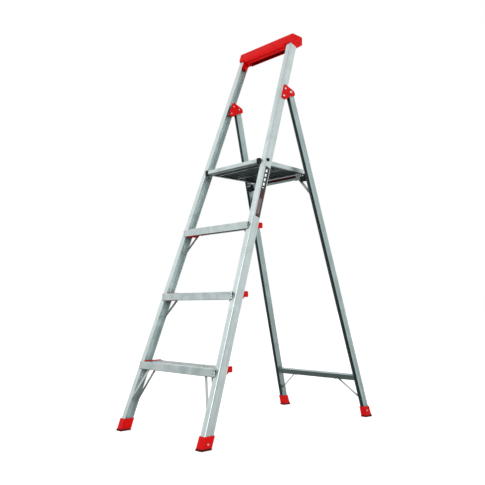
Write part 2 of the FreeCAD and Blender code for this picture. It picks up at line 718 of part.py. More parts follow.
for side_name, side in SIDES.items():
    boot_pair("front", FRONT[side_name], side_name, front_half,
              lambda z: D["front_slope"] * z, D["rail_depth"] * FRONT[side_name].stretch,
              D["rail_flange"], rail_start, 0.0)
    boot_pair("rear", REAR[side_name], side_name, rear_half, rear_front_y,
              D["rear_depth"] * REAR[side_name].stretch, D["rear_width"], D["rear_start"],
              REAR_TOE)
    for stem, frame, group, back, up, wall in (
            ("front", FRONT[side_name], frame_rivets, 19.0, 34.0, D["web_wall"]),
            ("rear", REAR[side_name], rear_rivets, 14.0, 32.0, D["rear_wall"])):
        stand_off = val("boot_wall") + (up - val("sole_height")) * val("front_taper") + 0.3
        rivet(group, ["%s_boot_%s" % (stem, side_name), "%s_rail_%s" % (stem, side_name)],
              frame.point(-stand_off, back, up), frame.axes[0] * -side, stand_off + wall.value)

# ---------------------------------------------------------------- rear rails
LINE = 0.5


def rear_rail_section():
    wide, deep, wall = D["rear_width"], D["rear_depth"], D["rear_wall"]
    thick, edge = wall + 0.8, 3.0
    return [
        (0, 0), (0, 16.0), (-LINE, 16.5), (-LINE, 18.0), (0, 18.5), (0, deep), (-wide, deep),
        (-wide, 0), (-wide + thick, 0), (-wide + thick, edge), (-wide + wall, edge + 0.8),
        (-wide + wall, deep - wall), (-wall, deep - wall), (-wall, edge + 0.8),
        (-thick, edge), (-thick, 0),
    ]


rear_pivot = REAR["right"].local(Vector(rear_half(hinge_z).value, hinge_y.value, hinge_z.value))
rear_end = as_dim(rear_pivot.z) + 16.0
for side_name, side in SIDES.items():
    frame = REAR[side_name]
    name = "rear_rail_" + side_name
    prism(name, "XY_Plane", [sided(side, rear_rail_section())], D["rear_start"],
          rear_end - D["rear_start"], frame.placement())

# ---------------------------------------------------------------- rear cross bars and straps
rear_angle = math.degrees(math.atan(val("rear_slope")))
REAR_MID = Placement(
    Vector(0, rear_front_y(0.0).value, 0), Rotation(Vector(1, 0, 0), rear_angle))
rear_cos = math.cos(math.radians(rear_angle))
rear_sin = math.sin(math.radians(rear_angle))
bar_front = 1.0


def inner_half(up):
    """Inner wall of a rear rail from the centre plane, at a distance up the rear frame."""
    return rear_half(up * rear_cos) - D["rear_width"]


bar_back = D["bar_depth"] - 1.0 + bar_front
upper_top = (deck_bottom - 0.3 - bar_back * rear_sin) / as_dim(rear_cos)
upper_low = D["bar_bottom"] / as_dim(rear_cos)
low_low = D["low_bar_bottom"] / as_dim(rear_cos)
low_top = low_low + D["low_bar_height"]


def bar_section(low, top):
    wall = D["bar_wall"]
    return [(bar_front, low), (bar_back, low), (bar_back, low + wall), (bar_front + wall, low + wall),
            (bar_front + wall, top - wall), (bar_back, top - wall), (bar_back, top),
            (bar_front, top)]


BARS = [("upper_cross_bar", upper_low, upper_top), ("lower_cross_bar", low_low, low_top)]
for name, low, top in BARS:
    half = inner_half(top) - 0.3
    prism(name, "YZ_Plane", [bar_section(low, top)], -half, half * 2, REAR_MID)


def strip(points, thick):
    """Outline of a bent strip: points run along one face, the other face is thick to the left."""
    far = []
    for i, (x, y) in enumerate(points):
        directions = []
        if i > 0:
            directions.append((x - points[i - 1][0], y - points[i - 1][1]))
        if i < len(points) - 1:
            directions.append((points[i + 1][0] - x, points[i + 1][1] - y))
        normals = [(-dy / math.hypot(dx, dy), dx / math.hypot(dx, dy)) for dx, dy in directions]
        nx = sum(n[0] for n in normals) / len(normals)
        ny = sum(n[1] for n in normals) / len(normals)
        scale = thick / (nx * nx + ny * ny)
        far.append((x + nx * scale, y + ny * scale))
    return points + far[::-1]


TAB = 24.0
REAR_STRAPS = [
    ("upper_brace_", "upper_cross_bar", upper_low.value, 72.0, 76.0, 100.0, 1.5, 19.0),
    ("lower_brace_", "lower_cross_bar", low_low.value, 127.0, 88.0, 112.0, 5.0, 10.0),
]
WALL_GAP = 0.5
for stem, bar, under, inset, drop, foot, back, wide in REAR_STRAPS:
    thick = val("strap_wall")
    tab_in = inner_half(under).value - inset
    tab_out = tab_in + TAB
    for side_name, side in SIDES.items():
        name = stem + side_name
        high, low = under - drop, under - foot
        path = [(tab_in, under - thick), (tab_out, under - thick),
                (inner_half(high).value - WALL_GAP - thick, high),
                (inner_half(low).value - WALL_GAP - thick, low)]
        outline = [(side * x, y) for x, y in strip(path, thick)]
        prism(name, "XZ_Plane", [outline], -(back + wide), wide, REAR_MID)
        mid = back + wide / 2
        start = REAR_MID.multVec(Vector(side * (tab_in + 8.0), mid, under - thick))
        up = REAR_MID.Rotation.multVec(Vector(0, 0, 1))
        rivet(rear_rivets, [name, bar], start, up, thick + val("bar_wall"))
        level = (high + low) / 2 - 3.0
        wall_x = inner_half(level).value
        start = REAR_MID.multVec(Vector(side * (wall_x - thick - WALL_GAP - 0.4), mid, level))
        rivet(rear_rivets, [name, "rear_rail_" + side_name], start, Vector(side, 0, 0),
              thick + WALL_GAP + val("rear_wall") + 0.8)

# ---------------------------------------------------------------- platform rest blocks
BLOCK_REACH = 9.5
BLOCK_WIDTH = 25.8
block_low = upper_low - 13.0
block_top = upper_top - 2.0
for side_name, side in SIDES.items():
    outer = inner_half(block_top) - 0.6
    profile = [(-BLOCK_REACH, block_top), (bar_front, block_top), (bar_front, upper_low),
               (bar_back - 1.0, upper_low), (bar_back - 1.0, block_low + 3.0),
               (bar_back - 4.0, block_low), (-3.0, block_low), (-BLOCK_REACH, block_low + 7.0)]
    start = outer - BLOCK_WIDTH if side > 0 else -outer
    prism("rest_block_" + side_name, "YZ_Plane", [profile], start, BLOCK_WIDTH, REAR_MID)
    back_way = REAR_MID.Rotation.multVec(Vector(0, 1, 0))
    for x in (outer.value + 6.0 - BLOCK_WIDTH, outer.value - 6.0):
        start = REAR_MID.multVec(Vector(side * x, -BLOCK_REACH, block_top.value - 11.0))
        rivet(rear_rivets, ["rest_block_" + side_name, "upper_cross_bar"], start, back_way,
              BLOCK_REACH + bar_front + val("bar_wall"))

# ---------------------------------------------------------------- platform
DECK_WALL = 2.5
DECK_SKIN = 2.6
FLANGE = 14.0
PLAY = 0.3
RIB_STEP = 24.0
FOOT_STEP = 5 * RIB_STEP
NOSE_BACK = 16.0
CAP_THICK = 18.0
CAP_RIVET_BACK = 12.6
NUT_CLEAR = 9.0
deck_taper = val("front_taper") * math.cos(math.atan(val("front_slope")))


def deck_half(back):
    """Outer face of the platform side rail from the centre, at y = back."""
    return lip_half(flip_z) - D["deck_clear"] - (back - flip_y) * deck_taper


side_start = nose_y + 8.2
side_end = rear_front_y(deck_bottom) + D["deck_rest"] - 1.0
for side_name, side in SIDES.items():
    name = "platform_side_" + side_name

    def edge(begin, inset_a, inset_b):
        near, far = deck_half(begin), deck_half(side_end)
        return [(x if side > 0 else -x, y) for x, y in (
            (near - inset_a, begin), (far - inset_a, side_end),
            (far - inset_b, side_end), (near - inset_b, begin))]

    body = new_body(name)
    wall = edge(side_start, 0.0, DECK_WALL)
    sk = add_sketch(body, name + "_wall", "XY_Plane", [wall], deck_bottom)
    add_pad(body, name + "_wall_pad", sk, D["deck_height"])
    flange = edge(nose_y + NOSE_BACK + 0.1, 0.0, FLANGE)
    sk = add_sketch(body, name + "_flange", "XY_Plane", [flange], deck_bottom)
    add_pad(body, name + "_flange_pad", sk, 2.0)

top = D["deck_top"]
nose_half = deck_half(nose_y) + 1.5 - CAP_THICK
nose_end = nose_y + NOSE_BACK
nose_outer = [(nose_y, deck_bottom + 2.0), (nose_y, top - 4.0), (nose_y + 1.2, top - 1.4),
              (nose_y + 3.5, top), (nose_end, top), (nose_end, deck_bottom - 4.0),
              (nose_y + 4.0, deck_bottom - 4.0)]
nose_hole = [(nose_y + 2.2, deck_bottom + 2.5), (nose_y + 2.2, top - 5.0),
             (nose_y + 4.5, top - 3.0), (nose_end - 2.2, top - 3.0),
             (nose_end - 2.2, deck_bottom - 2.0), (nose_y + 5.0, deck_bottom - 2.0)]
nose = prism("platform_nose", "YZ_Plane", [nose_outer, nose_hole], -nose_half, nose_half * 2)
add_grooves(nose, "nose_groove", nose_y + 5.0, 2, 5.0, top, nose_half)

deck_start = nose_y + NOSE_BACK
deck_stop = side_end - 8.0
deck_z = deck_bottom + 2.05
DECK_HALF = deck_half(nose_y) + 15.0
RIB_FEET = 3
planks = doc.addObject("PartDesign::Body", "deck_extrusion")
plate = [(deck_start + 0.1, top - DECK_SKIN), (deck_stop, top - DECK_SKIN), (deck_stop, top),
         (deck_start + 0.1, top)]
sk = add_sketch(planks, "deck_plate", "YZ_Plane", [plate], -DECK_HALF)
add_pad(planks, "deck_plate_pad", sk, DECK_HALF * 2)
rib_count = 12
first_rib = deck_stop - 6.0 - (rib_count - 1) * RIB_STEP
rib = [(first_rib, deck_z), (first_rib + 2.0, deck_z), (first_rib + 2.0, top - 1.5),
       (first_rib, top - 1.5)]
sk = add_sketch(planks, "deck_rib", "YZ_Plane", [rib], -DECK_HALF)
rib_pad = add_pad(planks, "deck_rib_pad", sk, DECK_HALF * 2)
repeat(planks, "deck_rib_row", rib_pad, rib_count, RIB_STEP)
first_foot = deck_stop - 6.0 - 2 * FOOT_STEP
foot = [(first_foot - 8.0, deck_z), (first_foot + 1.0, deck_z), (first_foot + 1.0, deck_z + 2.0),
        (first_foot - 8.0, deck_z + 2.0)]
sk = add_sketch(planks, "deck_foot", "YZ_Plane", [foot], -DECK_HALF)
foot_pad = add_pad(planks, "deck_foot_pad", sk, DECK_HALF * 2)
repeat(planks, "deck_foot_row", foot_pad, RIB_FEET, FOOT_STEP)
groove_count = int((deck_stop - deck_start - 6.0).value / RIB_PITCH)
add_grooves(planks, "deck_groove", deck_start + 3.0, groove_count, RIB_PITCH, top, DECK_HALF)
trim = doc.addObject("PartDesign::Body", "deck_trim")
inset = DECK_WALL + PLAY
notch_y = flip_y + NUT_CLEAR
narrow = deck_half(flip_y) - DECK_WALL - 8.0
outline = [(narrow, deck_start), (narrow, notch_y), (deck_half(notch_y) - inset, notch_y),
           (deck_half(deck_stop) - inset, deck_stop)]
outline += [(-x, y) for x, y in reversed(outline)]
sk = add_sketch(trim, "deck_outline", "XY_Plane", [outline], deck_bottom)
add_pad(trim, "deck_trim_pad", sk, D["deck_height"] + 1.0)
deck = doc.addObject("Part::MultiCommon", "platform_deck")
deck.Shapes = [planks, trim]
deck.Label = "platform_deck"
NODES["platform_deck"] = deck

edge_y = deck_stop + 0.1
edge_half = deck_half(side_end) - inset
edge_profile = [(edge_y, deck_z), (side_end + 1.0, deck_z), (side_end + 1.0, top - 2.0),
                (side_end - 1.0, top), (edge_y, top), (edge_y, top - 2.0),
                (side_end - 1.0, top - 2.0), (side_end - 1.0, deck_z + 2.0), (edge_y, deck_z + 2.0)]
prism("platform_rear_edge", "YZ_Plane", [edge_profile], -edge_half, edge_half * 2)

for side_name, side in SIDES.items():
    outer = nose_half + CAP_THICK
    inner_face = deck_half(deck_start) - DECK_WALL - PLAY
    outline = [(nose_half, nose_y - 1.5), (outer, nose_y - 1.5), (outer, side_start - 0.2),
               (inner_face, side_start - 0.2), (inner_face, deck_start), (nose_half, deck_start)]
    name = "platform_nose_cap_" + side_name
    prism(name, "XY_Plane", [[(x if side > 0 else -x, y) for x, y in outline]],
          deck_bottom - 5.0, D["deck_height"] + 6.0)
    rivet_y = nose_y + CAP_RIVET_BACK
    wall_x = deck_half(rivet_y).value
    rivet(deck_rivets, ["platform_side_" + side_name, name],
          Vector(side * (wall_x + 0.3), rivet_y.value, deck_bottom.value + 6.5),
          Vector(-side, 0, 0), 6.0, tail=False)
    for i in range(RIB_FEET):
        y = deck_stop.value - 10.0 - i * FOOT_STEP
        x = deck_half(as_dim(y)).value - DECK_WALL - 6.5
        rivet(deck_rivets, ["platform_side_" + side_name, "platform_deck"],
              Vector(side * x, y, deck_bottom.value), Vector(0, 0, 1), 4.05)

# ---------------------------------------------------------------- platform bolts and bushes
bolts = []
bolt_bushes = []
for side_name, side in SIDES.items():
    way = Vector(-side, 0, 0)
    web_x = front_half(flip_z).value
    wall_x = deck_half(flip_y).value
    head_x = web_x + HEAD_TILT
    start = Vector(side * head_x, flip_y.value, flip_z.value)
    nut_face = wall_x - DECK_WALL - 0.9
    radius = val("bolt_radius")
    head = Part.makeCylinder(8.0, 2.5, start, way * -1)
    dome = Part.makeCone(8.0, 5.0, 2.5, start - way * 2.5, way * -1)
    shank = Part.makeCylinder(radius, head_x - nut_face + 5.5, start, way)
    nut = Part.makeCylinder(6.8, 4.5, Vector(side * nut_face, flip_y.value, flip_z.value), way)
    bolts.append(head.fuse([dome, shank, nut]).removeSplitter())
    bush_out = web_x - val("web_wall") - HEAD_TILT
    bush_in = wall_x + 0.9
    start = Vector(side * bush_out, flip_y.value, flip_z.value)
    tube = Part.makeCylinder(7.5, bush_out - bush_in, start, way)
    bore = Part.makeCylinder(radius, bush_out - bush_in, start, way)
    bolt_bushes.append(tube.cut(bore))
    tool = Part.makeCylinder(radius, 30.0, Vector(side * (web_x + 5), flip_y.value, flip_z.value), way)
    drill(["front_rail_" + side_name], tool)
    tool = Part.makeCylinder(radius + val("running_fit"), 20.0,
                             Vector(side * (wall_x + 8), flip_y.value, flip_z.value), way)
    drill(["platform_side_" + side_name], tool)
solid_node("platform_bolts", bolts)
solid_node("platform_bushes", bolt_bushes)

# ---------------------------------------------------------------- labels
LABEL = 0.25
LABEL_TOP = 1170.0
LABEL_LOW = 935.0
frame = FRONT["right"]
low, high = LABEL_LOW * frame.stretch, LABEL_TOP * frame.stretch
panel = [(11.5, low), (38.5, low), (38.5, high), (11.5, high)]
prism("rail_label", "YZ_Plane", [panel], 0.0, LABEL, frame.placement())
panel = [(-75.0, upper_top - 14.0), (135.0, upper_top - 14.0), (135.0, upper_top - 2.5),
         (-75.0, upper_top - 2.5)]
prism("bar_label", "XZ_Plane", [panel], -bar_front, LABEL, REAR_MID)

solid_node("frame_rivets", frame_rivets)
solid_node("rear_rivets", rear_rivets)
solid_node("deck_rivets", deck_rivets)

# ---------------------------------------------------------------- drilled holes and export
doc.recompute()
for name, tools in DRILLS.items():
    base = NODES[name]
    holes = doc.addObject("Part::Feature", name + "_holes")
    holes.Shape = Part.makeCompound(tools)
    drilled = doc.addObject("Part::Cut", name + "_drilled")
    drilled.Base = base
    drilled.Tool = holes
    base.Label = name + "_blank"
    drilled.Label = name
    NODES[name] = drilled
doc.recompute()

for item in doc.Objects:
    if "Invalid" in item.State or "Error" in item.State:
        raise RuntimeError("%s did not build" % item.Name)
for name, item in NODES.items():
    if item.Shape.isNull() or not item.Shape.isValid():
        raise RuntimeError("%s has no valid shape" % name)

front_edge = NODES["front_sole_right"].Shape.BoundBox.YMin
back_edge = NODES["rear_sole_right"].Shape.BoundBox.YMax
to_middle = Vector(0, -(front_edge + back_edge) / 2, 0)
for name, item in NODES.items():
    shape = item.Shape.copy()
    shape.translate(to_middle)
    shape.exportStep("parts/%s.step" % name)
print("origin shift %.3f, rear pivot %.3f %.3f, platform pivot %.3f %.3f" % (
    to_middle.y, hinge_y.value, hinge_z.value, flip_y.value, flip_z.value))
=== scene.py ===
import math

import bmesh
import bpy
import numpy as np
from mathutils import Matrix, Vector


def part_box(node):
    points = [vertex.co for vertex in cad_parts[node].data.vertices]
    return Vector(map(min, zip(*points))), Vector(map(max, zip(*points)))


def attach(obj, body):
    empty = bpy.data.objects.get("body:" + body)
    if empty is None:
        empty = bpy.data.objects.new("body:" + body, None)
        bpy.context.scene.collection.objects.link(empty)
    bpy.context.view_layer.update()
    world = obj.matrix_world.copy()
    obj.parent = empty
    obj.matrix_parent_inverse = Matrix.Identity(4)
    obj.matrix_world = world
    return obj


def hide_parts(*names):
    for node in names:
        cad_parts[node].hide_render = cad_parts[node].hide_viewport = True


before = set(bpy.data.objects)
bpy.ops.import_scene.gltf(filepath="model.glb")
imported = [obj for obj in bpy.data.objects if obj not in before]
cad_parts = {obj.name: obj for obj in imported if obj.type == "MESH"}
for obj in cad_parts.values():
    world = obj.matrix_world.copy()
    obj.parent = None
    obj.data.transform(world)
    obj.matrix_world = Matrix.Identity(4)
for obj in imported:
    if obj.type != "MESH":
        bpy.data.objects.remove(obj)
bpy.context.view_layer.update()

# ---------------------------------------------------------------- front rails
# Two extruded aluminium channels, leaning back and drawing together towards the top.
# Mill finish: fine drawing lines run up each rail, with broad bands and hand smudges.
LEAN = (0.0592, 0.3537)
ALUMINIUM_LIGHT = (0.60, 0.675, 0.67, 1.0)
ALUMINIUM_DULL = (0.47, 0.545, 0.54, 1.0)


def put(tree, kind, props=None, inputs=None):
    """New node with its properties and inputs set; an input given as a socket is linked."""
    node = tree.nodes.new(kind)
    for name, value in (props or {}).items():
        setattr(node, name, value)
    for name, value in (inputs or {}).items():
        if isinstance(value, bpy.types.NodeSocket):
            tree.links.new(value, node.inputs[name])
        else:
            node.inputs[name].default_value = value
    return node


def maths(tree, operation, *values):
    """Math node of one to three values; returns its output."""
    return put(tree, "ShaderNodeMath", {"operation": operation}, dict(enumerate(values))).outputs[0]


def span(tree, value, low, high, start, end):
    """Map Range node, clamped; returns its output."""
    return put(tree, "ShaderNodeMapRange", None, {
        "Value": value, "From Min": low, "From Max": high,
        "To Min": start, "To Max": end}).outputs["Result"]


def noise(tree, vector, scale, detail, distortion=0.0):
    """Noise texture; returns its value output."""
    return put(tree, "ShaderNodeTexNoise", None, {
        "Vector": vector, "Scale": scale, "Detail": detail,
        "Distortion": distortion}).outputs["Fac"]


def new_group(name, inputs, outputs):
    """Empty shader group with its sockets; returns the tree and its two end nodes."""
    group = bpy.data.node_groups.new(name, "ShaderNodeTree")
    for label, value in inputs:
        socket = group.interface.new_socket(
            label, in_out="INPUT", socket_type="NodeSocketFloat")
        socket.default_value = value
    for label in outputs:
        group.interface.new_socket(label, in_out="OUTPUT", socket_type="NodeSocketFloat")
    return group, group.nodes.new("NodeGroupInput"), group.nodes.new("NodeGroupOutput")


def drawn_metal_group():
    """Lines along a leaning rail, broad bands, smudges and short scratches, as masks."""
    group, ends, out = new_group(
        "drawn_metal", [("Taper", 0.0), ("Slope", 0.0), ("Line Scale", 900.0)],
        ["Lines", "Bands", "Smudge", "Scratch"])
    here = put(group, "ShaderNodeTexCoord").outputs["Object"]
    axes = put(group, "ShaderNodeSeparateXYZ", None, {0: here})
    x, y, z = (axes.outputs[i] for i in range(3))
    across = maths(group, "MULTIPLY_ADD", z, ends.outputs["Taper"], maths(group, "ABSOLUTE", x))
    back = maths(group, "SUBTRACT", y, maths(group, "MULTIPLY", z, ends.outputs["Slope"]))
    line_x = maths(group, "MULTIPLY", across, ends.outputs["Line Scale"])
    line_y = maths(group, "MULTIPLY", back, ends.outputs["Line Scale"])
    line_z = maths(group, "MULTIPLY", z, 5.0)
    line_at = put(group, "ShaderNodeCombineXYZ", None, {0: line_x, 1: line_y, 2: line_z}).outputs[0]
    lines = noise(group, line_at, 1.0, 3.0)
    band_x = maths(group, "MULTIPLY", across, 90.0)
    band_y = maths(group, "MULTIPLY", back, 90.0)
    band_z = maths(group, "MULTIPLY", z, 1.4)
    band_at = put(group, "ShaderNodeCombineXYZ", None, {0: band_x, 1: band_y, 2: band_z}).outputs[0]
    bands = noise(group, band_at, 1.0, 2.0)
    smudge = noise(group, here, 14.0, 7.0, 0.6)
    patches = noise(group, here, 5.0, 2.0)
    turned = put(group, "ShaderNodeMapping", None, {
        "Vector": here, "Rotation": (0.5, 0.3, 0.7), "Scale": (30.0, 420.0, 420.0)})
    streaks = noise(group, turned.outputs[0], 1.0, 2.0, 0.2)
    scratch = maths(group, "MULTIPLY", span(group, streaks, 0.68, 0.74, 0.0, 1.0),
                    span(group, patches, 0.48, 0.62, 0.0, 1.0))
    for label, value in (("Lines", lines), ("Bands", bands), ("Smudge", smudge),
                         ("Scratch", scratch)):
        group.links.new(value, out.inputs[label])
    return group


DRAWN = drawn_metal_group()


def cavity_group():
    """How open a spot is: 1 on outer faces, 0 deep in a channel, groove or corner; the materials
    use it to paint shade into their colour and to roughen their hollows.
    """
    group, ends, out = new_group("cavity", [("Reach", 0.02)], ["Open"])
    shut = put(group, "ShaderNodeAmbientOcclusion", {"samples": 6},
               {"Distance": ends.outputs["Reach"]}).outputs["AO"]
    group.links.new(span(group, shut, 0.25, 0.95, 0.0, 1.0), out.inputs["Open"])
    return group


CAVITY = cavity_group()


def metal(name, light, dull, lean=(0.0, 0.0), rough=0.3, lines=900.0, line_bump=0.05,
          painted_shade_tone=0.45, reach=0.02):
    """Aluminium of one finish with painted shade in its hollows; lean gives the direction its
    drawing lines follow.
    """
    material = bpy.data.materials.new(name)
    material.use_nodes = True
    tree = material.node_tree
    shader = tree.nodes["Principled BSDF"]
    effect = put(tree, "ShaderNodeGroup", {"node_tree": DRAWN}, {
        "Taper": lean[0], "Slope": lean[1], "Line Scale": lines})
    grey = maths(tree, "MULTIPLY_ADD", effect.outputs["Smudge"], 0.7,
                 maths(tree, "MULTIPLY", effect.outputs["Bands"], 0.5))
    tone = put(tree, "ShaderNodeMix", {"data_type": "RGBA"}, {
        "Factor": span(tree, grey, 0.42, 0.84, 0.0, 1.0), "A": light, "B": dull})
    # Painted shade: the base colour is scaled down where the cavity mask finds a channel, groove or
    # corner.
    cavity = put(tree, "ShaderNodeGroup", {"node_tree": CAVITY}, {"Reach": reach}).outputs[0]
    painted_shade_colour = put(tree, "ShaderNodeVectorMath", {"operation": "SCALE"}, {
        0: tone.outputs["Result"], "Scale": span(tree, cavity, 0.0, 1.0, painted_shade_tone, 1.0)})
    tree.links.new(painted_shade_colour.outputs[0], shader.inputs["Base Color"])
    worn = span(tree, effect.outputs["Smudge"], 0.35, 0.7, rough - 0.03, rough + 0.07)
    scratched = maths(tree, "MULTIPLY_ADD", effect.outputs["Scratch"], 0.15, worn)
    inside = put(tree, "ShaderNodeGroup", {"node_tree": CAVITY}, {"Reach": 0.045}).outputs[0]
    tree.links.new(maths(tree, "ADD", scratched, span(tree, inside, 0.2, 1.0, 0.35, 0.0)),
                   shader.inputs["Roughness"])
    height = maths(tree, "MULTIPLY_ADD", effect.outputs["Scratch"], -0.6,
                   effect.outputs["Lines"])
    bump = put(tree, "ShaderNodeBump", None, {
        "Strength": line_bump, "Distance": 0.0004, "Height": height})
    tree.links.new(bump.outputs["Normal"], shader.inputs["Normal"])
    shader.inputs["Metallic"].default_value = 1.0
    return material


def paint(material, *nodes):
    """Give CAD pieces that stay in view their material."""
    for name in nodes:
        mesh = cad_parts[name].data
        mesh.materials.clear()
        mesh.materials.append(material)


def both(stem):
    """Left and right node names of a paired piece."""
    return [stem + "_left", stem + "_right"]


rail_metal = metal("front_rail_metal", ALUMINIUM_LIGHT, ALUMINIUM_DULL, LEAN, 0.27,
                   line_bump=0.012, painted_shade_tone=0.75, reach=0.006)

JOIN_DISTANCE = 2e-6
FLAT_ANGLE = math.radians(0.5)
SMOOTH_ANGLE = math.radians(48)


def clean_copy(node):
    """Edit mesh of a CAD piece with its split points joined and its flat areas whole."""
    edit = bmesh.new()
    edit.from_mesh(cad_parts[node].data)
    bmesh.ops.remove_doubles(edit, verts=edit.verts, dist=JOIN_DISTANCE)
    bmesh.ops.dissolve_limit(
        edit, angle_limit=FLAT_ANGLE, verts=edit.verts, edges=edit.edges)
    return edit


def finished(name, edit, material, body, slot, *nodes):
    """Object from an edit mesh, smooth with even face normals, riding its body."""
    bmesh.ops.recalc_face_normals(edit, faces=edit.faces)
    for face in edit.faces:
        face.smooth = True
    mesh = bpy.data.meshes.new(name)
    edit.to_mesh(mesh)
    edit.free()
    mesh.set_sharp_from_angle(angle=SMOOTH_ANGLE)
    obj = bpy.data.objects.new(name, mesh)
    bpy.context.scene.collection.objects.link(obj)
    even = obj.modifiers.new("even_normals", "WEIGHTED_NORMAL")
    even.keep_sharp = True
    bpy.context.view_layer.update()
    seen = obj.evaluated_get(bpy.context.evaluated_depsgraph_get())
    obj.data = bpy.data.meshes.new_from_object(seen)
    obj.modifiers.clear()
    obj.data.name = name
    obj.data.materials.clear()
    obj.data.materials.append(material)
    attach(obj, body)
    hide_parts(*nodes)
    return obj


for node in both("front_rail"):
    finished(node + "_extrusion", clean_copy(node), rail_metal, "front_frame",
             "rail_aluminium", node)

# ---------------------------------------------------------------- rear rails and cross bars
# Lighter U channels leaning the other way, joined by two channel cross bars.
# The same alloy, its colour painted darker than the front rails as painted shade, with its drawing
# lines along each rail.
REAR_LEAN = (0.0570, -0.2896)
# Painted shade: both tones are darker copies of the front rail aluminium, and the cross bars use
# them too.
REAR_SHADED_PALE = (0.40, 0.50, 0.49, 1.0)
REAR_SHADED_DULL = (0.28, 0.37, 0.36, 1.0)
# Deep painted shade inside the rear rails' open channels, down to 0.28 of the colour.
rear_metal = metal("rear_rail_metal", REAR_SHADED_PALE, REAR_SHADED_DULL, REAR_LEAN, 0.30, line_bump=0.015,
                   painted_shade_tone=0.28, reach=0.02)
bar_metal = metal("cross_bar_metal", REAR_SHADED_PALE, REAR_SHADED_DULL, (0.0, REAR_LEAN[1]), 0.33)
paint(rear_metal, *both("rear_rail"))
paint(bar_metal, "upper_cross_bar", "lower_cross_bar")

# ---------------------------------------------------------------- treads and platform
# Ribbed extrusions with a square skirt in front; the platform is a ribbed deck between
# two side rails with a rolled nose. The ribs are rubbed bright where feet land.
TREAD_LIGHT = (0.57, 0.65, 0.645, 1.0)
TREAD_DULL = (0.44, 0.52, 0.515, 1.0)
TREAD_DIRT = (0.30, 0.29, 0.27, 1.0)
FOOT_WIDTH = 0.11


def foot_wear_group():
    """Mask of rubbed and dirty patches near the middle of the treads."""
    group, ends, out = new_group("foot_wear", [("Half Width", FOOT_WIDTH)], ["Rubbed", "Dirt"])
    here = put(group, "ShaderNodeTexCoord").outputs["Object"]
    axes = put(group, "ShaderNodeSeparateXYZ", None, {0: here})
    facing = put(group, "ShaderNodeNewGeometry").outputs["Normal"]
    up = put(group, "ShaderNodeSeparateXYZ", None, {0: facing}).outputs[2]
    wander = maths(group, "MULTIPLY_ADD", noise(group, here, 9.0, 5.0), 0.16, -0.08)
    reach = maths(group, "ADD", maths(group, "ABSOLUTE", axes.outputs[0]), wander)
    near = maths(group, "DIVIDE", reach, ends.outputs["Half Width"])
    middle = span(group, near, 0.5, 1.5, 1.0, 0.0)
    top = span(group, up, 0.6, 0.95, 0.0, 1.0)
    rubbed = maths(group, "MULTIPLY", middle, top)
    specks = span(group, noise(group, here, 160.0, 4.0), 0.55, 0.72, 0.0, 1.0)
    dirt = maths(group, "MULTIPLY", specks, maths(group, "MULTIPLY", top, 0.6))
    group.links.new(rubbed, out.inputs["Rubbed"])
    group.links.new(dirt, out.inputs["Dirt"])
    return group


FOOT_WEAR = foot_wear_group()


def tread_metal(name):
    """Tread aluminium: drawing lines run across the ladder, feet leave rubbed and dusty areas, and
    painted shade darkens the hollows between the ribs.
    """
    material = bpy.data.materials.new(name)
    material.use_nodes = True
    tree = material.node_tree
    shader = tree.nodes["Principled BSDF"]
    here = put(tree, "ShaderNodeTexCoord").outputs["Object"]
    stretched = put(tree, "ShaderNodeMapping", None, {
        "Vector": here, "Scale": (4.0, 900.0, 900.0)})
    lines = noise(tree, stretched.outputs[0], 1.0, 3.0)
    smudge = noise(tree, here, 16.0, 7.0, 0.5)
    wear = put(tree, "ShaderNodeGroup", {"node_tree": FOOT_WEAR})
    rubbed, dirt = wear.outputs["Rubbed"], wear.outputs["Dirt"]
    tone = put(tree, "ShaderNodeMix", {"data_type": "RGBA"}, {
        "Factor": span(tree, smudge, 0.38, 0.68, 0.0, 1.0), "A": TREAD_LIGHT, "B": TREAD_DULL})
    dusty = put(tree, "ShaderNodeMix", {"data_type": "RGBA"}, {
        "Factor": dirt, "A": tone.outputs["Result"], "B": TREAD_DIRT})
    # Painted shade: the base colour is darkened down to 0.4 between the ribs and in corners, where
    # the cavity mask is shut.
    cavity = put(tree, "ShaderNodeGroup", {"node_tree": CAVITY}, {"Reach": 0.012}).outputs[0]
    painted_shade_colour = put(tree, "ShaderNodeVectorMath", {"operation": "SCALE"}, {
        0: dusty.outputs["Result"], "Scale": span(tree, cavity, 0.0, 1.0, 0.4, 1.0)})
    tree.links.new(painted_shade_colour.outputs[0], shader.inputs["Base Color"])
    base = span(tree, smudge, 0.3, 0.7, 0.27, 0.42)
    smoother = maths(tree, "MULTIPLY_ADD", rubbed, -0.08, base)
    tree.links.new(maths(tree, "MULTIPLY_ADD", dirt, 0.3, smoother), shader.inputs["Roughness"])
    tree.links.new(maths(tree, "MULTIPLY_ADD", dirt, -0.5, 1.0), shader.inputs["Metallic"])
    bump = put(tree, "ShaderNodeBump", None, {
        "Strength": 0.06, "Distance": 0.0004, "Height": lines})
    tree.links.new(bump.outputs["Normal"], shader.inputs["Normal"])
    return material


deck_metal = tread_metal("tread_metal")
paint(deck_metal, "tread_1", "tread_2", "tread_3", "platform_nose", "platform_deck",
      "platform_rear_edge", *both("platform_side"))

# ---------------------------------------------------------------- knee straps
# Flat aluminium bar, bent at both ends and riveted between treads, bars and rails.
# Sheared edges and a dull rolled face.
STRAP_LIGHT = (0.55, 0.59, 0.58, 1.0)
STRAP_DULL = (0.40, 0.44, 0.43, 1.0)
strap_metal = metal("strap_metal", STRAP_LIGHT, STRAP_DULL, (0.0, 0.0), 0.36, 500.0, 0.04)
paint(strap_metal, *both("tread_1_brace_front"), *both("tread_1_brace_rear"),
      *both("tread_2_brace"), *both("tread_3_brace"), *both("upper_brace"),
      *both("lower_brace"))

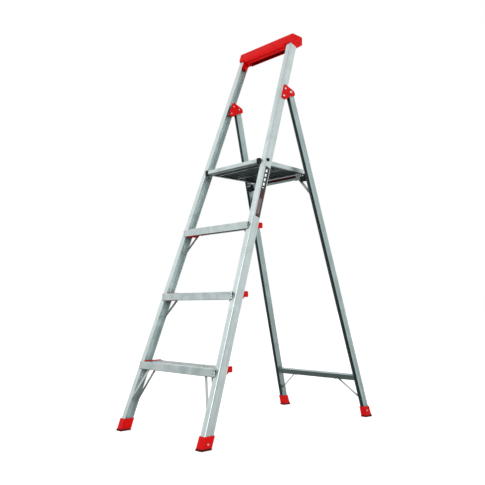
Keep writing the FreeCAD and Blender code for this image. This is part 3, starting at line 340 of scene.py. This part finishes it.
# ---------------------------------------------------------------- top cap
# One hollow red moulding over the rail tops, with a rounded front and a handhold edge.
# Injection moulded: fine grain, faint flow streaks, scuffs on the corners.
RED = (0.50, 0.0, 0.0005, 1.0)
RED_DEEP = (0.38, 0.0, 0.0005, 1.0)
SCUFF = (0.60, 0.10, 0.08, 1.0)
CAP_ROUND = 0.0026
CORNER_ANGLE = math.radians(28)


def moulded_group():
    """Grain, cloudiness and scuffs of a plastic moulding, as masks."""
    group, ends, out = new_group("moulded", [("Grain Scale", 1400.0)],
                                 ["Grain", "Cloud", "Scuff"])
    here = put(group, "ShaderNodeTexCoord").outputs["Object"]
    grain = put(group, "ShaderNodeTexNoise", None, {
        "Vector": here, "Scale": ends.outputs["Grain Scale"], "Detail": 2.0}).outputs["Fac"]
    cloud = noise(group, here, 22.0, 5.0, 0.4)
    turned = put(group, "ShaderNodeMapping", None, {
        "Vector": here, "Rotation": (0.3, 0.8, 0.4), "Scale": (60.0, 500.0, 200.0)})
    streaks = noise(group, turned.outputs[0], 1.0, 3.0, 0.3)
    patches = noise(group, here, 11.0, 3.0)
    scuff = maths(group, "MULTIPLY", span(group, streaks, 0.66, 0.74, 0.0, 1.0),
                  span(group, patches, 0.50, 0.62, 0.0, 1.0))
    for label, value in (("Grain", grain), ("Cloud", cloud), ("Scuff", scuff)):
        group.links.new(value, out.inputs[label])
    return group


MOULDED = moulded_group()


def plastic(name, colour, deep, scuff, rough=0.36, grain=1400.0, grain_bump=0.12):
    """Moulded plastic or rubber in one colour."""
    material = bpy.data.materials.new(name)
    material.use_nodes = True
    tree = material.node_tree
    shader = tree.nodes["Principled BSDF"]
    effect = put(tree, "ShaderNodeGroup", {"node_tree": MOULDED}, {"Grain Scale": grain})
    tone = put(tree, "ShaderNodeMix", {"data_type": "RGBA"}, {
        "Factor": span(tree, effect.outputs["Cloud"], 0.35, 0.75, 0.0, 0.7),
        "A": colour, "B": deep})
    marked = put(tree, "ShaderNodeMix", {"data_type": "RGBA"}, {
        "Factor": maths(tree, "MULTIPLY", effect.outputs["Scuff"], 0.45),
        "A": tone.outputs["Result"], "B": scuff})
    tree.links.new(marked.outputs["Result"], shader.inputs["Base Color"])
    shader.inputs["Specular IOR Level"].default_value = 0.08
    base = span(tree, effect.outputs["Cloud"], 0.3, 0.7, rough - 0.05, rough + 0.08)
    tree.links.new(maths(tree, "MULTIPLY_ADD", effect.outputs["Scuff"], 0.25, base),
                   shader.inputs["Roughness"])
    bump = put(tree, "ShaderNodeBump", None, {
        "Strength": grain_bump, "Distance": 0.0003, "Height": effect.outputs["Grain"]})
    tree.links.new(bump.outputs["Normal"], shader.inputs["Normal"])
    return material


def rounded(node, width, steps, material, body, slot):
    """Finished copy of a CAD piece with its sharp edges rounded over."""
    edit = clean_copy(node)
    sharp = [e for e in edit.edges
             if e.is_manifold and e.calc_face_angle(0.0) > CORNER_ANGLE]
    bmesh.ops.bevel(edit, geom=sharp, offset=width, offset_type="OFFSET", segments=steps,
                    profile=0.5, affect="EDGES", clamp_overlap=True)
    return finished(node + "_moulding", edit, material, body, slot, node)


red_plastic = plastic("red_moulding", RED, RED_DEEP, SCUFF)
rounded("top_cap", CAP_ROUND, 4, red_plastic, "front_frame", "red_plastic")

# ---------------------------------------------------------------- small red mouldings
# Tread end caps, hinge plates and boots, in the same red plastic as the cap.
# Each is moulded with small radii on every outer edge.
END_CAP_ROUND = 0.0007
PLATE_ROUND = 0.0009
BOOT_ROUND = 0.0014
for number in (1, 2, 3):
    for node in both("tread_cap_%d" % number):
        rounded(node, END_CAP_ROUND, 2, red_plastic, "front_frame", "red_plastic")
for kind in ("outer", "inner"):
    for node in both("hinge_plate_" + kind):
        rounded(node, PLATE_ROUND, 3, red_plastic, "front_frame", "red_plastic")
for end in ("front", "rear"):
    for node in both(end + "_boot"):
        rounded(node, BOOT_ROUND, 3, red_plastic, end + "_frame", "red_plastic")

# ---------------------------------------------------------------- soles
# Grooved dark red rubber pads pressed into the boots; dusty and matt where they stand.
SOLE_RED = (0.075, 0.006, 0.006, 1.0)
SOLE_DARK = (0.035, 0.006, 0.006, 1.0)
SOLE_DUST = (0.22, 0.17, 0.15, 1.0)
rubber = plastic("sole_rubber_look", SOLE_RED, SOLE_DARK, SOLE_DUST, 0.72, 900.0, 0.3)
SOLE_ROUND = 0.0005
for end in ("front", "rear"):
    for node in both(end + "_sole"):
        rounded(node, SOLE_ROUND, 2, rubber, end + "_frame", "sole_rubber")

# ---------------------------------------------------------------- black mouldings
# Nose caps, rest blocks and the two platform pivot bolts with moulded black heads.
# Glass-filled nylon: fine grain and grey scuffs.
BLACK = (0.012, 0.013, 0.014, 1.0)
BLACK_DEEP = (0.006, 0.006, 0.007, 1.0)
GREY_SCUFF = (0.12, 0.12, 0.12, 1.0)
black_plastic = plastic("black_moulding", BLACK, BLACK_DEEP, GREY_SCUFF, 0.42, 1100.0, 0.2)
NOSE_ROUND = 0.0011
BLOCK_ROUND = 0.0010
BOLT_ROUND = 0.0009
for node in both("platform_nose_cap"):
    rounded(node, NOSE_ROUND, 3, black_plastic, "platform", "black_plastic")
for node in both("rest_block"):
    rounded(node, BLOCK_ROUND, 3, black_plastic, "rear_frame", "black_plastic")
rounded("platform_bolts", BOLT_ROUND, 3, black_plastic, "front_frame", "black_plastic")

# ---------------------------------------------------------------- pivots
# Plated steel pins and large tubular rivets hold the hinge plates; the bushes are nylon.
STEEL = (0.62, 0.62, 0.61, 1.0)
STEEL_DULL = (0.42, 0.42, 0.41, 1.0)
RIVET_LIGHT = (0.74, 0.76, 0.76, 1.0)
RIVET_DULL = (0.55, 0.57, 0.57, 1.0)
NYLON = (0.62, 0.60, 0.55, 1.0)
NYLON_DEEP = (0.50, 0.48, 0.43, 1.0)
steel = metal("plated_steel", STEEL, STEEL_DULL, (0.0, 0.0), 0.24, 700.0, 0.03)
rivet_metal = metal("rivet_metal", RIVET_LIGHT, RIVET_DULL, (0.0, 0.0), 0.22, 600.0, 0.03)
NYLON_SCUFF = (0.3, 0.28, 0.25, 1.0)
nylon = plastic("white_nylon_look", NYLON, NYLON_DEEP, NYLON_SCUFF, 0.5)
PIN_ROUND = 0.0010
rounded("hinge_pins", PIN_ROUND, 3, steel, "front_frame", "pin_steel")
rounded("hinge_rivets", PIN_ROUND, 3, rivet_metal, "front_frame", "rivet_aluminium")
paint(nylon, "hinge_bushes", "platform_bushes")

# ---------------------------------------------------------------- blind rivets
# Domed aluminium blind rivets join treads, straps, caps, boots and bars to the rails.
# Each head has the hole left by its mandrel, with the broken steel stub down inside.
HEAD_RADIUS = 0.0044
HEAD_RISE = 0.0014
TAIL_RADIUS = 0.0035
TAIL_RISE = 0.0016
MANDREL = 0.0012
HEAD_PROFILE = [(MANDREL, -0.0004), (MANDREL, HEAD_RISE * 0.92), (MANDREL * 1.3, HEAD_RISE),
                (HEAD_RADIUS * 0.55, HEAD_RISE * 0.93), (HEAD_RADIUS * 0.80, HEAD_RISE * 0.68),
                (HEAD_RADIUS * 0.95, HEAD_RISE * 0.34), (HEAD_RADIUS, HEAD_RISE * 0.10),
                (HEAD_RADIUS, 0.0), (MANDREL * 1.6, 0.0)]
TAIL_PROFILE = [(0.0, 0.0), (0.0008, 0.0), (0.0010, -0.0003), (0.0022, -0.0004),
                (0.0026, 0.0000), (0.0033, 0.0006), (TAIL_RADIUS, 0.0011),
                (0.0031, TAIL_RISE), (0.0, TAIL_RISE)]
STUB_PROFILE = [(0.0, 0.0005), (MANDREL * 0.7, 0.0004), (MANDREL, 0.0001), (MANDREL, -0.0004)]
TURN_STEPS = 20


def turned_part(name, *profiles):
    """Mesh object from profiles of (radius, height) turned about Z, one material slot each."""
    edit = bmesh.new()
    for slot_index, profile in enumerate(profiles):
        points = [edit.verts.new((radius, 0.0, height)) for radius, height in profile]
        lines = [edit.edges.new(pair) for pair in zip(points, points[1:])]
        made = set(edit.faces)
        bmesh.ops.spin(edit, geom=points + lines, axis=(0, 0, 1), cent=(0, 0, 0),
                       steps=TURN_STEPS, angle=math.tau)
        for face in set(edit.faces) - made:
            face.material_index = slot_index
    bmesh.ops.remove_doubles(edit, verts=edit.verts, dist=1e-6)
    bmesh.ops.recalc_face_normals(edit, faces=edit.faces)
    for face in edit.faces:
        face.smooth = True
    mesh = bpy.data.meshes.new(name)
    edit.to_mesh(mesh)
    edit.free()
    mesh.set_sharp_from_angle(angle=math.radians(50))
    obj = bpy.data.objects.new(name, mesh)
    bpy.context.scene.collection.objects.link(obj)
    return obj


def rivet_ends(node):
    """Head seats and tail ends of the rivets in a CAD group, each with its outward axis."""
    edit = bmesh.new()
    edit.from_mesh(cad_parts[node].data)
    bmesh.ops.remove_doubles(edit, verts=edit.verts, dist=JOIN_DISTANCE)
    heads, tails, left = [], [], set(edit.verts)
    while left:
        island, edge = set(), [left.pop()]
        while edge:
            vert = edge.pop()
            if vert not in island:
                island.add(vert)
                edge += [e.other_vert(vert) for e in vert.link_edges]
        left -= island
        points = np.array([v.co for v in island])
        middle = (points.max(0) + points.min(0)) / 2
        faces = {f for v in island for f in v.link_faces}
        axis = np.array(max(faces, key=lambda f: f.calc_area()).normal)
        far = (points - middle) @ axis
        radius = np.linalg.norm(points - middle - np.outer(far, axis), axis=1)
        brim = radius > radius.max() * 0.98
        if far[brim].mean() < 0:
            axis, far = -axis, -far
        heads.append((points[brim].mean(0), axis))
        low = far.min()
        end = points[far < low + 1e-5]
        rim = np.linalg.norm(end - end.mean(0), axis=1).max()
        foot = (far > low + 0.0012) & (far < low + 0.0020)
        if foot.any():
            ring = points[foot]
            spread = np.linalg.norm(ring - ring.mean(0), axis=1).max()
            if spread > rim * 1.2:
                tails.append((end.mean(0) + axis * TAIL_RISE, -axis))
    edit.free()
    return heads, tails


def rivet_tree():
    """Geometry nodes: one part on every point, turned to its axis, with a random spin."""
    tree = bpy.data.node_groups.new("rivets", "GeometryNodeTree")
    for label, kind in (("Geometry", "NodeSocketGeometry"), ("Part", "NodeSocketObject"),
                        ("Seed", "NodeSocketInt"), ("Material", "NodeSocketMaterial")):
        tree.interface.new_socket(label, in_out="INPUT", socket_type=kind)
    tree.interface.new_socket("Geometry", in_out="OUTPUT", socket_type="NodeSocketGeometry")
    ends = tree.nodes.new("NodeGroupInput")
    out = tree.nodes.new("NodeGroupOutput")
    axis = put(tree, "GeometryNodeInputNamedAttribute", {"data_type": "FLOAT_VECTOR"},
               {"Name": "axis"})
    aligned = put(tree, "FunctionNodeAlignRotationToVector", {"axis": "Z"},
                  {"Vector": axis.outputs["Attribute"]})
    spin = put(tree, "FunctionNodeRandomValue", {"data_type": "FLOAT"})
    tree.links.new(ends.outputs["Seed"], spin.inputs["Seed"])
    angles = [s for s in spin.inputs if s.type == "VALUE" and s.name in ("Min", "Max")]
    angles[0].default_value, angles[1].default_value = 0.0, math.tau
    value = [s for s in spin.outputs if s.type == "VALUE"][0]
    turn = put(tree, "FunctionNodeAxisAngleToRotation", None,
               {"Axis": (0.0, 0.0, 1.0), "Angle": value})
    both_turns = put(tree, "FunctionNodeRotateRotation", {"rotation_space": "LOCAL"}, {
        "Rotation": aligned.outputs[0], "Rotate By": turn.outputs[0]})
    part = put(tree, "GeometryNodeObjectInfo", None, {"Object": ends.outputs["Part"]})
    placed = put(tree, "GeometryNodeInstanceOnPoints", None, {
        "Points": ends.outputs["Geometry"], "Instance": part.outputs["Geometry"],
        "Rotation": both_turns.outputs[0]})
    real = put(tree, "GeometryNodeRealizeInstances", None,
               {"Geometry": placed.outputs["Instances"]})
    made = put(tree, "GeometryNodeSetMaterial", None, {
        "Geometry": real.outputs[0], "Material": ends.outputs["Material"]})
    tree.links.new(made.outputs[0], out.inputs[0])
    return tree


RIVETS = rivet_tree()


def rivet_row(name, ends, part, material, seed):
    """Mesh object with the part on every end."""
    mesh = bpy.data.meshes.new(name)
    mesh.from_pydata([tuple(p) for p, _ in ends], [], [])
    axes = mesh.attributes.new("axis", "FLOAT_VECTOR", "POINT")
    axes.data.foreach_set("vector", np.array([a for _, a in ends], np.float32).ravel())
    obj = bpy.data.objects.new(name, mesh)
    bpy.context.scene.collection.objects.link(obj)
    grow = obj.modifiers.new("rivets", "NODES")
    grow.node_group = RIVETS
    sockets = {s.name: s.identifier for s in RIVETS.interface.items_tree
               if s.in_out == "INPUT"}
    grow[sockets["Part"]] = part
    grow[sockets["Seed"]] = seed
    grow[sockets["Material"]] = material
    bpy.context.view_layer.update()
    seen = obj.evaluated_get(bpy.context.evaluated_depsgraph_get())
    obj.data = bpy.data.meshes.new_from_object(seen)
    obj.modifiers.clear()
    obj.data.name = name
    return obj


head_part = turned_part("rivet_head_part", HEAD_PROFILE)
stub_part = turned_part("rivet_stub_part", STUB_PROFILE)
tail_part = turned_part("rivet_tail_part", TAIL_PROFILE)
for node, body, seed in (("frame_rivets", "front_frame", 3), ("rear_rivets", "rear_frame", 5),
                         ("deck_rivets", "platform", 7)):
    heads, tails = rivet_ends(node)
    rows = [rivet_row(node + "_heads", heads, head_part, rivet_metal, seed),
            rivet_row(node + "_stubs", heads, stub_part, steel, seed)]
    if tails:
        rows.append(rivet_row(node + "_tails", tails, tail_part, rivet_metal, seed))
    for row in rows:
        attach(row, body)
    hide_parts(node)
for part in (head_part, stub_part, tail_part):
    bpy.data.objects.remove(part)

# ---------------------------------------------------------------- printed labels
# Film labels: one down the right rail, black above and dark red below inside a black edge,
# and a dark red strip on the upper cross bar. The marks are plain bars and blocks.
LABEL_BLACK = (0.012, 0.012, 0.013, 1.0)
LABEL_RED = (0.035, 0.0015, 0.002, 1.0)
LABEL_WHITE = (0.62, 0.62, 0.60, 1.0)
LABEL_RUBBED = (0.25, 0.26, 0.26, 1.0)
MARKS_PER_METRE = 47.0
ROWS_PER_METRE = 210.0


def label_film(name, slope, low, split, high, left, right):
    """Printed film; slope and the four edges say where the label is on the ladder."""
    material = bpy.data.materials.new(name)
    material.use_nodes = True
    tree = material.node_tree
    shader = tree.nodes["Principled BSDF"]
    here = put(tree, "ShaderNodeTexCoord").outputs["Object"]
    axes = put(tree, "ShaderNodeSeparateXYZ", None, {0: here})
    across = maths(tree, "SUBTRACT", axes.outputs[1],
                   maths(tree, "MULTIPLY", axes.outputs[2], slope))
    up = axes.outputs[2]

    def between(value, start, end):
        above = maths(tree, "GREATER_THAN", value, start)
        return maths(tree, "MULTIPLY", above, maths(tree, "LESS_THAN", value, end))

    wide = right - left
    red_area = maths(tree, "MULTIPLY", between(up, low + 0.004, split),
                     between(across, left + 0.12 * wide, right - 0.12 * wide))
    mark_area = maths(tree, "MULTIPLY", between(up, split + 0.014, high - 0.012),
                      between(across, left + 0.34 * wide, right - 0.34 * wide))
    beat = maths(tree, "FRACT", maths(tree, "MULTIPLY", up, MARKS_PER_METRE))
    marks = maths(tree, "MULTIPLY", mark_area, maths(tree, "GREATER_THAN", beat, 0.38))
    fine_area = maths(tree, "MULTIPLY", between(up, low + 0.016, split - 0.034),
                      between(across, left + 0.24 * wide, right - 0.24 * wide))
    fine = maths(tree, "FRACT", maths(tree, "MULTIPLY", up, ROWS_PER_METRE))
    rows = maths(tree, "MULTIPLY", fine_area, maths(tree, "GREATER_THAN", fine, 0.62))
    base = put(tree, "ShaderNodeMix", {"data_type": "RGBA"}, {
        "Factor": red_area, "A": LABEL_BLACK, "B": LABEL_RED})
    lined = put(tree, "ShaderNodeMix", {"data_type": "RGBA"}, {
        "Factor": maths(tree, "MULTIPLY", rows, 0.35), "A": base.outputs["Result"],
        "B": LABEL_WHITE})
    printed = put(tree, "ShaderNodeMix", {"data_type": "RGBA"}, {
        "Factor": marks, "A": lined.outputs["Result"], "B": LABEL_WHITE})
    effect = put(tree, "ShaderNodeGroup", {"node_tree": MOULDED}, {"Grain Scale": 800.0})
    rubbed = put(tree, "ShaderNodeMix", {"data_type": "RGBA"}, {
        "Factor": maths(tree, "MULTIPLY", effect.outputs["Scuff"], 0.5),
        "A": printed.outputs["Result"], "B": LABEL_RUBBED})
    tree.links.new(rubbed.outputs["Result"], shader.inputs["Base Color"])
    tree.links.new(span(tree, effect.outputs["Cloud"], 0.3, 0.7, 0.38, 0.52),
                   shader.inputs["Roughness"])
    bump = put(tree, "ShaderNodeBump", None, {
        "Strength": 0.05, "Distance": 0.0002, "Height": effect.outputs["Grain"]})
    tree.links.new(bump.outputs["Normal"], shader.inputs["Normal"])
    return material


RAIL_LABEL_LOW, RAIL_LABEL_HIGH = (corner.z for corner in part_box("rail_label"))
RAIL_LABEL_SPLIT = 1.046
RAIL_LABEL_LEFT, RAIL_LABEL_RIGHT = -0.5425, -0.5085
paint(label_film("rail_label_film", LEAN[1], RAIL_LABEL_LOW, RAIL_LABEL_SPLIT, RAIL_LABEL_HIGH,
                 RAIL_LABEL_LEFT, RAIL_LABEL_RIGHT), "rail_label")
BAR_RED = (0.03, 0.0015, 0.002, 1.0)
BAR_DEEP = (0.02, 0.001, 0.0015, 1.0)
bar_film = plastic("bar_label_film", BAR_RED, BAR_DEEP, GREY_SCUFF, 0.42, 800.0, 0.05)
paint(bar_film, "bar_label")

# ---------------------------------------------------------------- stage
# Plain pale floor under an even white surround that falls off below the horizon,
# two large soft lamps, and the camera low at the right front corner.
# The floor glows a little, which keeps it pale.
FLOOR_HALF = 60.0
SURROUND_TOP = 1.0
SURROUND_LOW = 0.14
FLOOR_GLOW = 0.3
CEILING = 0.12
WINDOW = 1.6
CAMERA_AT = (2.0997, -2.0814, 0.5339)
CAMERA_YAW = 46.109
CAMERA_PITCH = 6.029
CAMERA_ROLL = 0.065
LENS = 45.88
SENSOR = 36.0
DIAGONAL = 0.7071
KEY_POWER = 60.0
FILL_POWER = 6.0

edit = bmesh.new()
bmesh.ops.create_grid(edit, x_segments=1, y_segments=1, size=FLOOR_HALF)
floor_mesh = bpy.data.meshes.new("floor")
edit.to_mesh(floor_mesh)
edit.free()
floor = bpy.data.objects.new("floor", floor_mesh)
bpy.context.scene.collection.objects.link(floor)
floor_paper = bpy.data.materials.new("floor_paper")
floor_paper.use_nodes = True
paper = floor_paper.node_tree.nodes["Principled BSDF"]
paper.inputs["Base Color"].default_value = (0.92, 0.92, 0.92, 1.0)
paper.inputs["Roughness"].default_value = 0.9
paper.inputs["Specular IOR Level"].default_value = 0.1
paper.inputs["Emission Color"].default_value = (1.0, 1.0, 1.0, 1.0)
paper.inputs["Emission Strength"].default_value = FLOOR_GLOW
floor_mesh.materials.append(floor_paper)
floor.visible_glossy = False

world = bpy.data.worlds.new("surround")
bpy.context.scene.world = world
world.use_nodes = True
sky = world.node_tree
direction = put(sky, "ShaderNodeTexCoord").outputs["Generated"]
aim = put(sky, "ShaderNodeSeparateXYZ", None, {0: direction})
height = aim.outputs[2]
level = span(sky, height, -0.38, -0.02, SURROUND_LOW, SURROUND_TOP)
behind = maths(sky, "MULTIPLY", maths(sky, "SUBTRACT", aim.outputs[0], aim.outputs[1]),
               DIAGONAL)
ceiling = maths(sky, "MULTIPLY", span(sky, behind, 0.25, 0.55, 0.0, 1.0),
                span(sky, height, 0.66, 0.76, 0.0, 1.0))
even = maths(sky, "MULTIPLY", level, span(sky, ceiling, 0.0, 1.0, 1.0, CEILING))
window = maths(sky, "MULTIPLY", span(sky, behind, 0.80, 0.93, 0.0, WINDOW),
               span(sky, height, -0.05, 0.05, 0.0, 1.0))
window = maths(sky, "MULTIPLY", window, span(sky, height, 0.56, 0.66, 1.0, 0.0))
shade = maths(sky, "ADD", even, window)
tint = put(sky, "ShaderNodeCombineColor", None, {0: shade, 1: shade, 2: shade})
sky.links.new(tint.outputs[0], sky.nodes["Background"].inputs["Color"])
sky.nodes["Background"].inputs["Strength"].default_value = 1.0


def lamp(name, at, aim, size, power):
    """Large square soft lamp."""
    light = bpy.data.lights.new(name, "AREA")
    light.shape = "RECTANGLE"
    light.size, light.size_y = size
    light.energy = power
    obj = bpy.data.objects.new(name, light)
    obj.location = at
    obj.rotation_euler = (Vector(aim) - Vector(at)).to_track_quat("-Z", "Y").to_euler()
    bpy.context.scene.collection.objects.link(obj)


lamp("key", (2.6, -3.2, 2.6), (0.0, 0.0, 1.0), (1.6, 2.8), KEY_POWER)
lamp("fill", (-3.2, -2.0, 3.0), (0.0, 0.0, 0.9), (3.0, 3.0), FILL_POWER)

camera = bpy.data.objects.new("camera", bpy.data.cameras.new("camera"))
bpy.context.scene.collection.objects.link(camera)
camera.location = CAMERA_AT
camera.rotation_euler = (
    math.radians(90 + CAMERA_PITCH), math.radians(CAMERA_ROLL), math.radians(CAMERA_YAW))
camera.data.sensor_width = SENSOR
camera.data.lens = LENS
camera.data.clip_end = 200.0
bpy.context.scene.camera = camera
bpy.context.scene.view_settings.view_transform = "Standard"
